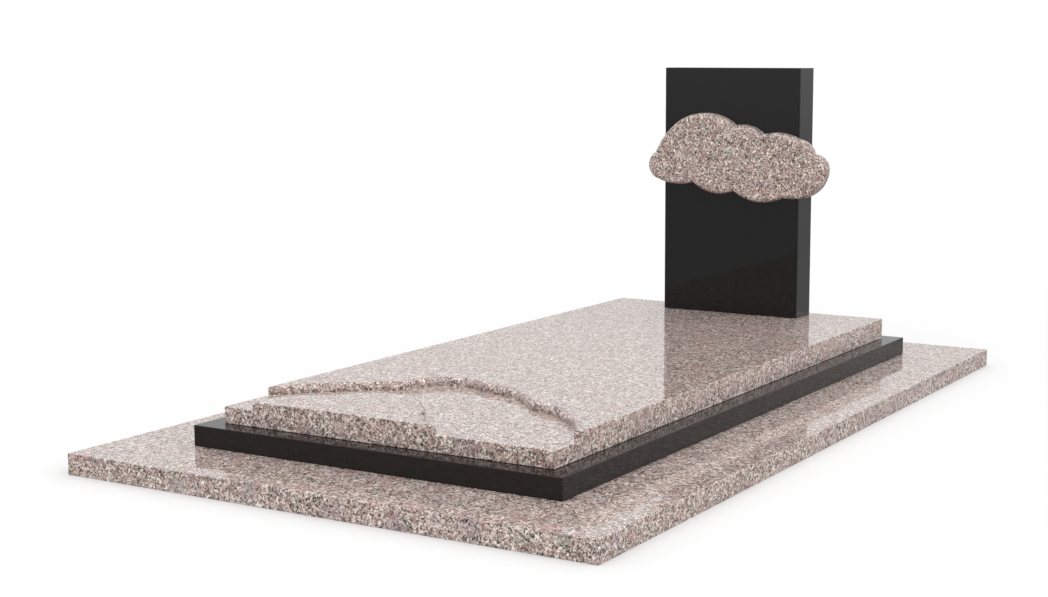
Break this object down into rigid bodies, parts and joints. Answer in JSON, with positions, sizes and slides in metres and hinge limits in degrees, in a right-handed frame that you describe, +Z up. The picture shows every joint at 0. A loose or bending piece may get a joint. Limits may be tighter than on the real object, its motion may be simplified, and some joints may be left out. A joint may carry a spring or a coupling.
{
  "type": "granite grave monument",
  "caption": "Flat granite grave monument: base slab, black plinth frame, pink ledger with a cloud-edged recess at its foot, and a black headstone that carries a cloud.",
  "frame": {"origin": "middle of the base slab's underside", "axes": "+Z up, +Y towards the head end where the headstone stands, the foot end faces -Y, +X to the right seen from the foot"},
  "size_m": [1.4, 2.4, 0.91],
  "materials": {
    "pink_granite": "polished pink and grey granite with black specks",
    "honed_pink_granite": "honed fine-grained pink granite",
    "black_granite": "polished fine black granite"
  },
  "bodies": {
    "root": {"base_slab": "pink_granite", "plinth_frame": "black_granite", "ledger_slab": "pink_granite", "headstone": "black_granite", "cloud_ornament": "honed_pink_granite"}
  },
  "joints": []
}
